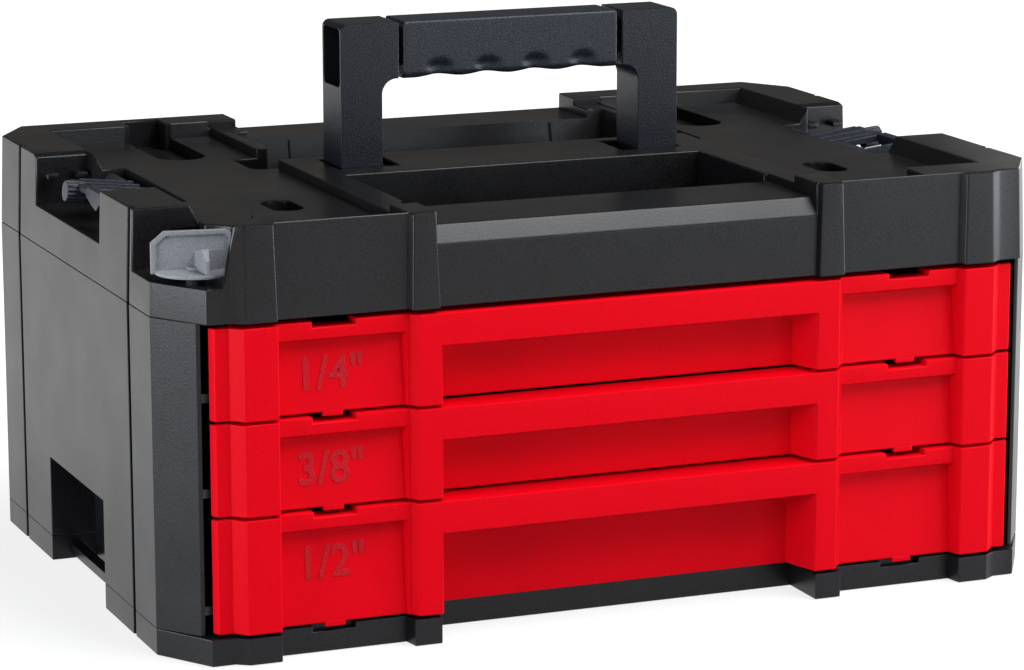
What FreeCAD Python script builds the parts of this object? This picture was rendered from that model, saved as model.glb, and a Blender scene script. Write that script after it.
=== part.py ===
import FreeCAD, Part
import os
from math import cos, hypot, radians, sin
from FreeCAD import Vector

os.makedirs("parts", exist_ok=True)

# A stackable tool box with three shallow drawers behind red fronts.
# Units are millimetres. X runs to the right, Y to the rear and Z up. While it is modelled, y = 0 is
# the plane of the front posts; save() moves each piece so that the origin is the middle of the base.

# ---- Case: overall sizes and the outline that the base and the cover share
half_width = 220.0
case_depth = 314.0
plinth_height = 12.4
wall = 3.0

mid_post_inner = 94.3
mid_post_outer = 107.5
corner_post_outer = half_width - 34.0
corner_post_width = 15.0
corner_post_inner = corner_post_outer - corner_post_width
post_splay = 1.5
facet_inner = corner_post_outer + 6.0
facet_outer = half_width - 17.5
facet_setback = 4.0
chamfer_rear = 32.0
groove_places = [66.2, case_depth - 61.5]
groove_width = 3.5
groove_depth = 2.5
corner_rear = groove_places[0] - groove_width / 2 - 4.0
rear_chamfer_run = 27.0
rear_chamfer_width = 17.0
shell_front = 11.0
shell_return = 24.0
facet_step = 1.5

# ---- Drawer fronts, from the bottom up
front_heights = [52.6, 42.0, 42.0]
front_names = ["bottom", "middle", "top"]
front_gap = 1.4
cover_gap = 2.1

# ---- Levels that follow from the stack of fronts
front_bottoms = [plinth_height + front_gap]
for height in front_heights[:-1]:
    front_bottoms.append(front_bottoms[-1] + height + front_gap)
seam = front_bottoms[-1] + front_heights[-1] + cover_gap

# ---- Cover: heights above its seam with the case
cover_height = 43.7
cover_top = seam + cover_height
border_height = 7.8
border_slope = 4.0
rear_border_draft = 1.4
deck = cover_top - border_height
platform = cover_top - 3.5
ledge = cover_top - 7.0
trough_floor = cover_top - 27.0
pocket_floor = cover_top - 24.3
lever_floor = cover_top - 27.6
tray_floor = seam + 12.0
cover_draft = 1.5
cover_middle_face = 3.0
cover_recess_face = 4.0
band_bottom = seam + 27.0
band_rear = 9.5
rear_border_width = 22.0
low_border_width = 41.0
border_gap_half = 94.0
block_inner = half_width - 28.0

# ---- Tray, ridge and trough between the two decks of the cover
tray_half_width = 92.0
tray_front = 55.0
ridge_front = 130.0
ridge_rear = 184.0
platform_half_width = 108.0
trough_half_width = 102.0
trough_rear = case_depth - low_border_width
rail_front = 217.0
recess_outer = platform_half_width + 12.5
recess_drop = 9.0
recess_corner = 7.0
post_top_rear = 29.0

# ---- Flat head of each corner post, which runs back over the deck
post_head_inner = corner_post_inner - 19.5
post_head_front = cover_recess_face + 2.0
post_head_rear = 28.0

# ---- Base underside and the catch pockets in both sides
stack_recess = 8.0
stack_rim = 30.0
back_half = half_width - 28.0
catch_front = 114.0
catch_rear = case_depth - 108.0
catch_depth = 22.0
catch_top = 52.0
notch_centre = corner_post_inner - 27.5
notch_half_width = 10.2
notch_drop = 2.7
pull_recess = 27.0
rear_notch_centre = notch_centre - 2.3
rear_notch_half = 9.2
rear_notch_rear = case_depth - 8.0
channel_radius = 12.0
channel_front = case_depth - 77.0
channel_depth = 6.0
foot_slot_x = notch_centre - 4.0
foot_slot_radius = 7.5
foot_slot_front = 79.0
foot_slot_rear = 93.0
trough_rib_x = 72.0
base_recess_face = 8.5

# ---- Runner panels: one channel for each drawer
runner_face = half_width - 28.5
runner_thickness = 3.0
runner_front = 14.5
runner_rear = case_depth - 7.0
ledge_reach = 6.0
ledge_thickness = 2.0
slide_gap = 0.3
runner_foot_places = [80.0, 180.0, case_depth - 52.0]

# ---- Drawer fronts: moulded profile
front_end = half_width - 19.7
front_end_face = 6.0
front_end_rear = 10.5
front_shoulder = front_end - 1.8
front_panel_rear = 16.0
front_panel_half = runner_face - 2.5
pull_half_width = 94.0
pull_taper = 6.0
pull_lip = 15.0
pull_depths = [19.5, 15.5, 15.5]
pull_skin = 2.5
lip_thickness = 3.0
panel_lip = 8.0
panel_lip_face = 4.5
scoop_top_depth = 9.5
scoop_bottom_depth = 7.0
scoop_end = corner_post_inner - 2.5
tab_half_width = 5.0
tab_drop = 2.0
core_wall = 2.6

# ---- Drawer tubs, socket trays and their fixings
tub_side_room = 7.5
tub_half_width = runner_face - tub_side_room
tub_rear = case_depth - 18.0
tub_wall = 2.5
tub_lift = 1.2
tub_heights = [40.0, 29.0, 24.5]
rib_thickness = 3.0
rib_front = 40.0
tray_gap = 0.4
socket_radii = [14.0, 10.5, 7.5]
socket_rows = [3, 4, 5]
row_land = 5.0
tool_bay_length = 62.0
divider_thickness = 1.6
divider_height = 2.5
tray_skin = 1.6
front_screw_x = [60.0, corner_post_inner - 21.0]

# ---- Carrying handle
handle_half_width = 88.2
leg_width = 21.2
handle_front = 147.5
handle_depth = 26.5
handle_top = 264.5
grip_height = 27.2
grip_bottom = handle_top - grip_height
inner_fillet = 7.5
outer_fillet = 3.5
groove_inner = 56.0
groove_outer = 58.4
handle_travel = 38.0
leg_bottom = 181.5
sleeve_gap = 0.6
sleeve_wall = 2.2
mouth_depth = 3.0
mouth_inner = 58.5
stop_reach = 3.7
stop_height = 6.2
stop_half_depth = 5.0
finger_radius = 78.0
finger_rise = 0.5
finger_pitch = 25.0
finger_dent = 9.0
finger_dent_depth = 2.5
side_slot_depth = 16.0
side_slot_wall = 1.8
side_slot_fillet = 3.0
core_setback = 5.5

# ---- Side latches in the cover
latch_front = 132.0
latch_rear = 189.0
latch_pocket_front = 113.0
latch_pocket_rear = 212.0
latch_pocket_inner = half_width - 43.0
pocket_step_inner = half_width - 27.0
pocket_step_rear = latch_pocket_rear + 10.0
pocket_step_slope = 5.0
pocket_step_drop = 1.3
hinge_x = half_width - 36.0
hinge_drop = 6.0
barrel_radius = 4.0
pin_radius = 2.0
latch_reach = 28.0
latch_tilt = 6.5
latch_rib_pitch = 10.0
thumb_radius = 5.2
thumb_setback = 11.0
thumb_reach = 5.0
claw_depth = 18.0
lug_places = [half_width - 22.5, half_width - 8.0]
lug_reach = 7.0

# ---- Drawer lock in the left front corner
lock_x = 21.0 - half_width
lock_y = 30.0
lever_radius = 18.4
lever_well_radius = 25.5
lever_height = 19.0
lever_lift = 3.0
lever_plate = 1.6
fin_reach = 17.5
fin_hollow_radius = 15.0
lever_lean = 17.0
lever_wall_offset = 1.5
guard_rear = 7.5
rod_radius = 3.0
tongue_length = 15.0
tongue_width = 4.0
tongue_thickness = 4.0
tongue_rest_angle = -95.0
lug_front = 26.0
lug_length = 5.0
lug_height = 8.0
bush_radius = 4.4
running_gap = 0.05

# ---- Screws
screw_radius = 2.0
screw_head_radius = 4.0
screw_head_height = 2.4
cover_screw_reach = 13.0


def save(name, shape):
    """Write one piece, moved so that the origin is the middle of the base."""
    placed = shape.copy()
    placed.translate(Vector(0, -case_depth / 2, 0))
    placed.exportStep(f"parts/{name}.step")


def box(x0, x1, y0, y1, z0, z1):
    return Part.makeBox(x1 - x0, y1 - y0, z1 - z0, Vector(x0, y0, z0))


def post(x, y, z0, z1, radius):
    return Part.makeCylinder(radius, z1 - z0, Vector(x, y, z0))


def bar_along_y(x, z, y0, y1, radius):
    return Part.makeCylinder(radius, y1 - y0, Vector(x, y0, z), Vector(0, 1, 0))


def polygon(corners):
    return Part.makePolygon(corners + corners[:1])


def prism(points, z0, z1):
    """An outline in plan, from one level up to another."""
    face = Part.Face(polygon([Vector(x, y, z0) for x, y in points]))
    return face.extrude(Vector(0, 0, z1 - z0))


def prism_x(points, x0, x1):
    """A section of (y, z) points, from one x to another."""
    face = Part.Face(polygon([Vector(x0, y, z) for y, z in points]))
    return face.extrude(Vector(x1 - x0, 0, 0))


def prism_y(points, y0, y1):
    """A section of (x, z) points, from one y to another."""
    face = Part.Face(polygon([Vector(x, y0, z) for x, z in points]))
    return face.extrude(Vector(0, y1 - y0, 0))


def flip(shape):
    return shape.mirror(Vector(0, 0, 0), Vector(1, 0, 0))


def both_sides(shape):
    """The shape and its mirror image on the other side of the case, as a list."""
    return [shape, flip(shape)]


def edges_along_y(block, level):
    """The edges of a block that run front to rear at one level."""
    return [edge for edge in block.Edges
            if edge.BoundBox.YLength > 1 and edge.BoundBox.ZLength < 0.01
            and edge.BoundBox.XLength < 0.01 and abs(edge.BoundBox.ZMax - level) < 0.01]


def edges_along_x(block):
    """The four edges of a block that run from side to side."""
    return [edge for edge in block.Edges
            if edge.BoundBox.YLength < 0.01 and edge.BoundBox.ZLength < 0.01]


def inset(points, distance):
    """A closed outline, drawn anticlockwise, moved inwards with mitred corners."""
    moved = []
    for index, (x, y) in enumerate(points):
        before_x, before_y = points[index - 1]
        after_x, after_y = points[(index + 1) % len(points)]
        in_length = hypot(x - before_x, y - before_y)
        out_length = hypot(after_x - x, after_y - y)
        normal_in = Vector(before_y - y, x - before_x, 0) / in_length
        normal_out = Vector(y - after_y, after_x - x, 0) / out_length
        shift = (normal_in + normal_out) * (distance / (1 + normal_in.dot(normal_out)))
        moved.append((x + shift.x, y + shift.y))
    return moved


def tapered(points, z0, z1, draft):
    """An outline in plan that draws in by the draft on its way up."""
    low = polygon([Vector(x, y, z0) for x, y in points])
    high = polygon([Vector(x, y, z1) for x, y in inset(points, draft)])
    return Part.makeLoft([low, high], True, True)


def case_outline(middle_face, recess_face):
    """The case in plan: posts and sunk panels at the front, and chamfered corners."""
    right = [
        (mid_post_inner, middle_face),
        (mid_post_inner, 0),
        (mid_post_outer, 0),
        (mid_post_outer + post_splay, recess_face),
        (corner_post_inner - post_splay, recess_face),
        (corner_post_inner, 0),
        (corner_post_outer, 0),
        (facet_inner, facet_setback),
        (facet_outer, facet_setback),
        (half_width, chamfer_rear),
        (half_width, case_depth - rear_chamfer_run),
        (half_width - rear_chamfer_width, case_depth),
    ]
    left = [(-x, y) for x, y in reversed(right)]
    return right + left


def side_grooves(z0, z1, draft=0.0, around=0.0):
    """The two upright grooves in each side, or the larger bodies that keep a wall round them."""
    floor = half_width - groove_depth - around
    reach = groove_width / 2 + around
    grooves = []
    for y in groove_places:
        groove = prism_y([
            (floor, z0),
            (half_width + 1, z0),
            (half_width + 1, z1),
            (floor - draft, z1),
        ], y - reach, y + reach)
        grooves += both_sides(groove)
    return grooves


def chamfer_x(y):
    """How far out the front corner chamfer lies at a given setback."""
    slope = (half_width - facet_outer) / (chamfer_rear - facet_setback)
    return facet_outer + (y - facet_setback) * slope


# ---- Screw places: three columns in each side shell and three flanges at its top
column_x = half_width - 13.0
column_places = [60.0, case_depth - 82.0, case_depth - 24.0]
column_radius = 5.5
column_top = plinth_height + 34.0
flange_places = [50.0, 150.0, case_depth - 52.0]
flange_half = 8.0
flange_thickness = 3.0
base_floor = plinth_height - stack_recess


def build_base():
    """Plinth tray: closed floor, open stacking recess below, catch bars for the box underneath."""
    base = prism(case_outline(pull_recess, base_recess_face), 0, plinth_height)
    cuts = [box(-half_width + stack_rim, half_width - stack_rim, pull_recess + stack_rim / 2,
                case_depth - stack_rim, -1, stack_recess)]
    for side in (1, -1):
        outer = side * (half_width + 1)
        inner = side * (half_width - catch_depth)
        cuts.append(box(min(outer, inner), max(outer, inner), catch_front, catch_rear,
                        -1, plinth_height + 1))
        x = side * notch_centre
        cuts.append(box(x - notch_half_width, x + notch_half_width, -1, base_recess_face + 4,
                        plinth_height - notch_drop, plinth_height + 1))
        for y in column_places:
            cuts.append(post(side * column_x, y, -1, plinth_height + 1,
                             screw_radius + running_gap))
            cuts.append(post(side * column_x, y, -1, base_floor, screw_head_radius + slide_gap))
    cuts.append(post(lock_x, lock_y, plinth_height - 4, plinth_height + 1,
                     bush_radius + running_gap))
    base = base.cut(cuts + side_grooves(-1, plinth_height + 1))
    bar = box(half_width - catch_depth + 6, half_width - catch_depth + 12,
              catch_front, catch_rear, 2, 7)
    return base.fuse(both_sides(bar)).removeSplitter()


def side_path():
    """Outer face of the right side shell, from behind the front's end to the back panel."""
    edge = chamfer_x(shell_front) - facet_step
    return [
        (front_end + wall, shell_return),
        (edge - 2, shell_return),
        (edge - 2, shell_front),
        (edge, shell_front),
        (half_width, chamfer_rear),
        (half_width, case_depth - rear_chamfer_run),
        (half_width - rear_chamfer_width, case_depth),
        (back_half, case_depth),
    ]


def build_side_shell():
    """Right side shell: outer wall, catch pocket, screw columns and top flanges."""
    whole = side_path() + [(back_half, shell_return)]
    outer = prism(whole, plinth_height, seam)
    core = prism([
        (back_half - 1, shell_return + wall),
        (chamfer_x(shell_return + wall) - facet_step - 1.2 * wall, shell_return + wall),
        (half_width - wall, chamfer_rear + 1),
        (half_width - wall, case_depth - rear_chamfer_run - 1),
        (half_width - rear_chamfer_width - wall / 2, case_depth - wall),
        (back_half - 1, case_depth - wall),
    ], plinth_height - 1, seam + 1)
    core = core.cut(side_grooves(plinth_height - 2, seam + 2, around=wall))
    front_open = box(back_half - 1, front_end + wall, shell_return - 1, shell_return + wall + 1,
                     plinth_height - 1, seam + 1)
    shell = outer.cut([core, front_open] + side_grooves(plinth_height - 1, seam + 1))

    pocket_inner = half_width - catch_depth
    pocket = box(pocket_inner, half_width + 1, catch_front, catch_rear,
                 plinth_height - 1, catch_top)
    pocket_wall = 2.0
    hood = box(pocket_inner - pocket_wall, half_width - wall / 2,
               catch_front - pocket_wall, catch_rear + pocket_wall,
               plinth_height, catch_top + pocket_wall)
    additions = [hood]
    holes = [pocket]
    for y in column_places:
        additions.append(post(column_x, y, plinth_height, column_top, column_radius))
        additions.append(box(column_x, half_width - wall / 2, y - 1, y + 1,
                             plinth_height, column_top))
        holes.append(post(column_x, y, plinth_height - 1, column_top - 3,
                          screw_radius + running_gap))
    for y in flange_places:
        additions.append(box(column_x - flange_half, half_width - wall / 2,
                             y - flange_half, y + flange_half, seam - flange_thickness, seam))
        holes.append(post(column_x, y, seam - flange_thickness - 1, seam + 1,
                          screw_radius + running_gap))
    return shell.fuse(additions).cut(holes).removeSplitter()


# ---- Sunk fields of the back panel and the ribs that stiffen them
field_margin = 16.0
field_rib_pitch = 17.5


def build_back_panel():
    """Rear wall between the two side shells, with two shallow ribbed fields."""
    panel = box(-back_half, back_half, case_depth - wall - 1, case_depth, plinth_height, seam)
    low = plinth_height + field_margin
    high = seam - field_margin
    outer = back_half - field_margin
    centre = (field_margin + outer) / 2
    count = int((outer - centre) / field_rib_pitch)
    field = box(field_margin, outer, case_depth - 1.5, case_depth + 1, low, high)
    ribs = []
    for step in range(-count, count + 1):
        x = centre + step * field_rib_pitch
        ribs += both_sides(box(x - 1, x + 1, case_depth - 2, case_depth - 0.5, low, high))
    return panel.cut(both_sides(field)).fuse(ribs).removeSplitter()


# ---- Runner levels, shared by the panels and the drawer ribs
tub_bottoms = [bottom + tub_lift for bottom in front_bottoms]
tub_tops = [bottom + height for bottom, height in zip(tub_bottoms, tub_heights)]
rib_outer = runner_face - 2 * slide_gap
tongue_levels = [bottom + lug_height / 2 + 4 for bottom in tub_bottoms]


def build_runner_panel():
    """Right inner wall: a plate with a pair of ledges for each drawer and windows for the lock."""
    panel = box(runner_face, runner_face + runner_thickness, runner_front, runner_rear,
                plinth_height, seam)
    ledges = []
    ledge_inner = runner_face - ledge_reach + slide_gap
    for top in tub_tops:
        low = top - rib_thickness - slide_gap
        high = top + slide_gap
        ledges.append(box(ledge_inner, runner_face, runner_front + 25, runner_rear,
                          low - ledge_thickness, low))
        ledges.append(box(ledge_inner, runner_face, runner_front + 25, runner_rear,
                          high, high + ledge_thickness))
    stops = box(ledge_inner, runner_face, tub_rear + 2, tub_rear + 5, plinth_height, seam)
    feet = []
    for y in runner_foot_places:
        feet.append(box(runner_face + runner_thickness, half_width - catch_depth - 3,
                        y - 1, y + 1, catch_top + 6, seam - 6))
    panel = panel.fuse(ledges + feet + [stops])
    windows = []
    for level in tongue_levels:
        windows.append(box(runner_face - 1, runner_face + runner_thickness + 1,
                           runner_front - 1, runner_front + 20,
                           level - tongue_thickness, level + tongue_thickness))
    return panel.cut(windows).removeSplitter()


def build_front(index):
    """Red drawer front: middle pull, proud posts, scooped side panels, notch above, tab below."""
    z0 = front_bottoms[index]
    z1 = z0 + front_heights[index]
    depth = pull_depths[index]
    back = depth + pull_skin
    half = [
        (mid_post_inner + 10.7, 0),
        (mid_post_outer, panel_lip_face),
        (corner_post_inner - post_splay, panel_lip_face),
        (corner_post_inner, 0),
        (corner_post_outer + 0.5, 0),
        (facet_inner, front_end_face),
        (front_shoulder, front_end_face),
        (front_end, front_end_rear),
        (front_panel_half, front_end_rear),
        (front_panel_half, front_panel_rear),
        (mid_post_outer, front_panel_rear),
        (mid_post_inner + 6, back),
    ]
    plan = half + [(-x, y) for x, y in reversed(half)]
    front = prism(plan, z0, z1)

    # The pull is a pocket behind a hanging lip, with walls that close in towards the back.
    pull_plan = [
        (-pull_half_width, -1),
        (pull_half_width, -1),
        (pull_half_width - pull_taper, depth),
        (-pull_half_width + pull_taper, depth),
    ]
    pocket = prism(pull_plan, z0 - 1, z1 - lip_thickness)
    lip = box(-pull_half_width - 1, pull_half_width + 1, -2, lip_thickness, z1 - pull_lip, z1)
    front = front.cut(pocket.cut(lip))

    # The scoop is deepest under its lip and runs out towards the bottom and the corner post.
    profile = prism_x([
        (-2, z0 - 1),
        (scoop_bottom_depth, z0 - 1),
        (scoop_top_depth, z1 - panel_lip - 1.5),
        (panel_lip_face, z1 - panel_lip),
        (-2, z1 - panel_lip),
    ], mid_post_inner, corner_post_outer)
    limits = prism([
        (mid_post_outer, -3),
        (mid_post_outer + post_splay + 1, scoop_top_depth + 1),
        (scoop_end, scoop_top_depth + 1),
        (corner_post_inner - post_splay, panel_lip_face),
        (corner_post_inner - post_splay, -3),
    ], z0 - 2, z1)
    scoop = profile.common(limits)

    notch = box(notch_centre - notch_half_width, notch_centre + notch_half_width, -1,
                back + 1, z1 - notch_drop, z1 + 1)
    mid_core = box(mid_post_inner + 2, mid_post_outer - 3, core_wall + 0.4, back + 1,
                   z0 + core_wall, z1 - core_wall)
    corner_core = box(corner_post_inner + 2.5, corner_post_outer - 0.5, core_wall + 0.4, back + 1,
                      z0 + core_wall, z1 - core_wall)
    panel_core = box(mid_post_outer + 6, scoop_end - 2, scoop_top_depth + core_wall, back + 1,
                     z0 + core_wall, z1 - notch_drop - core_wall)
    tab = box(notch_centre - tab_half_width, notch_centre + tab_half_width,
              scoop_bottom_depth, scoop_bottom_depth + 2.5, z0 - tab_drop, z0 + 1)
    sunk = both_sides(scoop) + both_sides(notch) + both_sides(mid_core)
    sunk += both_sides(corner_core) + both_sides(panel_core)
    front = front.cut(sunk)

    bosses = []
    holes = []
    level = z0 + front_heights[index] / 2
    for x in front_screw_x:
        face = depth if x < pull_half_width else scoop_top_depth
        bosses.append(bar_along_y(x, level, face + 0.5, back, screw_head_radius + 1))
        holes.append(bar_along_y(x, level, face + 2, back + 1, screw_radius + running_gap))
    mirrored_bosses = [flip(boss) for boss in bosses]
    mirrored_holes = [flip(hole) for hole in holes]
    front = front.fuse(both_sides(tab) + bosses + mirrored_bosses)
    return front.cut(holes + mirrored_holes).removeSplitter()


def tub_front(index):
    return pull_depths[index] + pull_skin


def build_tub(index):
    """Drawer tub: floor, four walls, a runner rib along each side and a lug for the lock."""
    y0 = tub_front(index)
    z0 = tub_bottoms[index]
    z1 = tub_tops[index]
    tub = box(-tub_half_width, tub_half_width, y0, tub_rear, z0, z1)
    tub = tub.cut(box(-tub_half_width + tub_wall, tub_half_width - tub_wall, y0 + tub_wall,
                      tub_rear - tub_wall, z0 + tub_wall, z1 + 1))
    rib = box(tub_half_width - 1, rib_outer, rib_front, tub_rear, z1 - rib_thickness, z1)
    level = tongue_levels[index]
    lug = box(tub_half_width - 1, runner_face - 1.2, lug_front, lug_front + lug_length,
              level - lug_height / 2, level + lug_height / 2)
    tub = tub.fuse(both_sides(rib) + [flip(lug)])
    holes = []
    screw_level = front_bottoms[index] + front_heights[index] / 2
    for x in front_screw_x:
        holes.append(bar_along_y(x, screw_level, y0 - 1, y0 + tub_wall + 1,
                                 screw_radius + running_gap))
        holes.append(bar_along_y(-x, screw_level, y0 - 1, y0 + tub_wall + 1,
                                 screw_radius + running_gap))
    return tub.cut(holes).removeSplitter()


def tray_size(index):
    """Front, rear, bottom and top of the socket tray that lies in a tub."""
    front = tub_front(index) + tub_wall + screw_head_height + tray_gap
    rear = tub_rear - tub_wall - tray_gap
    bottom = tub_bottoms[index] + tub_wall
    top = bottom + socket_radii[index] + 3
    return front, rear, bottom, top


def socket_row_places(index):
    """Middle lines of the socket rows, spread evenly behind the tool bay."""
    front, rear, bottom, top = tray_size(index)
    first = front + tool_bay_length + 2 * row_land
    pitch = (rear - row_land - first) / socket_rows[index]
    return [first + pitch * (row + 0.5) for row in range(socket_rows[index])]


def build_socket_tray(index):
    """Tray with a flat tool bay in front and half-round troughs for sockets, split by dividers."""
    front, rear, bottom, top = tray_size(index)
    half = tub_half_width - tub_wall - tray_gap
    radius = socket_radii[index]
    tray = box(-half, half, front, rear, bottom, top)
    trough_half = half - 8
    bay_rear = front + row_land + tool_bay_length
    cuts = [box(-trough_half, trough_half, front + row_land, bay_rear, bottom + 3, top + 1)]
    underside = box(-half + tray_skin, half - tray_skin, front + tray_skin, rear - tray_skin,
                    bottom - 1, top - tray_skin)
    kept = [box(-trough_half - tray_skin, trough_half + tray_skin, front, bay_rear + tray_skin,
                bottom + 3 - tray_skin, top)]
    dividers = []
    pitch = 2 * radius + divider_thickness + 2
    count = int(2 * trough_half / pitch)
    for y in socket_row_places(index):
        cuts.append(Part.makeCylinder(radius, 2 * trough_half, Vector(-trough_half, y, top),
                                      Vector(1, 0, 0)))
        kept.append(Part.makeCylinder(radius + tray_skin, 2 * (trough_half + tray_skin),
                                      Vector(-trough_half - tray_skin, y, top),
                                      Vector(1, 0, 0)))
        for step in range(1, count):
            x = -trough_half + 2 * trough_half * step / count
            ridge = Part.makeCylinder(radius + 0.5, divider_thickness,
                                      Vector(x - divider_thickness / 2, y, top), Vector(1, 0, 0))
            inner = Part.makeCylinder(radius - divider_height, divider_thickness + 2,
                                      Vector(x - divider_thickness / 2 - 1, y, top),
                                      Vector(1, 0, 0))
            upper = box(x - 2, x + 2, y - radius - 1, y + radius + 1, top - divider_height,
                        top + radius + 1)
            dividers.append(ridge.cut([inner, upper]))
    hollow = underside.cut(kept)
    return tray.cut(cuts).cut(hollow).fuse(dividers).removeSplitter()


def build_front_screws(index):
    """Four screws that hold the front to the tub from inside, under the edge of the tray."""
    y0 = tub_front(index) + tub_wall
    level = front_bottoms[index] + front_heights[index] / 2
    screws = []
    for x in front_screw_x:
        face = pull_depths[index] if x < pull_half_width else scoop_top_depth
        head = bar_along_y(x, level, y0, y0 + screw_head_height, screw_head_radius)
        shank = bar_along_y(x, level, face + 2.5, y0 + 0.5, screw_radius)
        cross = box(x - 2.2, x + 2.2, y0 + screw_head_height - 1, y0 + screw_head_height + 1,
                    level - 0.5, level + 0.5)
        cross_up = box(x - 0.5, x + 0.5, y0 + screw_head_height - 1, y0 + screw_head_height + 1,
                       level - 2.2, level + 2.2)
        screw = head.fuse(shank).cut([cross, cross_up])
        screws += both_sides(screw)
    return Part.makeCompound(screws)


# ---- Places in the cover that its pieces share
sleeve_inner = handle_half_width - leg_width - sleeve_gap
sleeve_outer = handle_half_width + sleeve_gap
sleeve_front = handle_front - sleeve_gap
sleeve_rear = handle_front + handle_depth + sleeve_gap
sleeve_floor = leg_bottom - handle_travel - 1.0
mouth_floor = platform - mouth_depth
hinge_z = deck - hinge_drop


def cover_underside():
    """The space inside the cover, before the pockets that hang down into it are kept."""
    outline = case_outline(cover_middle_face, cover_recess_face)
    low_deck = prism(inset(outline, wall + cover_draft), seam - 1, deck - wall)
    ridge = box(-platform_half_width + wall, platform_half_width - wall, ridge_front + wall,
                ridge_rear - wall, seam, platform - wall)
    rear_border = box(platform_half_width, half_width - rear_border_width,
                      case_depth - rear_border_width + wall, case_depth - 2 * wall,
                      seam, cover_top - wall)
    rear_block = box(block_inner + 5, half_width - 2 * wall - groove_depth,
                     pocket_step_rear + wall, case_depth - rear_chamfer_run, seam,
                     cover_top - wall)
    front_block = box(block_inner + 5, half_width - 2 * wall - groove_depth,
                      corner_rear + 2 * wall,
                      latch_pocket_front - wall, seam, cover_top - wall)
    blocks = both_sides(rear_border) + both_sides(rear_block) + both_sides(front_block)
    return low_deck.fuse([ridge] + blocks)


def cover_pockets():
    """Outer bodies of the pockets, so that each keeps a floor and walls of its own."""
    tray = box(-tray_half_width - wall, tray_half_width + wall, 0, ridge_front + wall,
               tray_floor - wall, cover_top)
    band = prism_x([
        (0, seam),
        (cover_middle_face + cover_draft + wall, seam),
        (cover_middle_face + cover_draft + wall, band_bottom),
        (band_rear + wall, ledge - wall),
        (tray_front, ledge - wall),
        (tray_front, cover_top),
        (0, cover_top),
    ], -mid_post_inner, mid_post_inner)
    front_room = box(-tray_half_width - 2 * wall, tray_half_width + 2 * wall, 0,
                     tray_front - wall, seam - 1, ledge - wall)
    tray = tray.cut(front_room).fuse(band)
    trough = box(-trough_half_width - wall, trough_half_width + wall, ridge_rear - wall,
                 trough_rear + wall, trough_floor - wall, deck)
    recess = box(trough_half_width, recess_outer + wall, ridge_rear - wall, rail_front + wall,
                 deck - recess_drop - wall, deck)
    latch = box(latch_pocket_inner - wall, half_width, latch_pocket_front - wall,
                latch_pocket_rear + wall, pocket_floor - wall, cover_top)
    latch_step = box(pocket_step_inner - wall, half_width, latch_pocket_rear,
                     pocket_step_rear + wall, pocket_floor - wall, cover_top)
    channel = box(rear_notch_centre - channel_radius - wall,
                  rear_notch_centre + channel_radius + wall,
                  channel_front - channel_radius - wall, case_depth,
                  deck - channel_depth - wall, deck)
    notch = box(rear_notch_centre - rear_notch_half - wall,
                rear_notch_centre + rear_notch_half + wall,
                channel_front, rear_notch_rear + wall, deck - channel_depth - wall, cover_top)
    foot_slot = box(foot_slot_x - foot_slot_radius - wall, foot_slot_x + foot_slot_radius + wall,
                    foot_slot_front - foot_slot_radius - wall,
                    foot_slot_rear + foot_slot_radius + wall, deck - 2 * wall - 2, deck)
    well = post(lock_x, lock_y, lever_floor - wall, cover_top, lever_well_radius + wall)
    corner = box(-half_width, lock_x, 0, corner_rear + wall, lever_floor - wall, cover_top)
    sleeves = box(sleeve_inner - sleeve_wall, sleeve_outer + sleeve_wall,
                  sleeve_front - sleeve_wall, sleeve_rear + sleeve_wall, seam, platform)
    mouth = box(mouth_inner - wall, sleeve_outer + wall, sleeve_front - wall,
                sleeve_rear + wall, mouth_floor - wall, platform)
    stop_room = box(sleeve_inner - stop_reach - sleeve_wall, sleeve_inner,
                    sleeve_front, sleeve_rear, seam, platform)
    bosses = []
    for y in flange_places:
        bosses.append(post(column_x, y, seam, deck, column_radius))
        bosses.append(box(column_x, half_width, y - 1.5, y + 1.5, seam, deck))
    parts = [tray, trough, well, corner]
    for shape in (latch, latch_step, recess, channel, notch, foot_slot, sleeves, mouth,
                  stop_room):
        parts += both_sides(shape)
    for boss in bosses:
        parts += both_sides(boss)
    return parts


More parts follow.
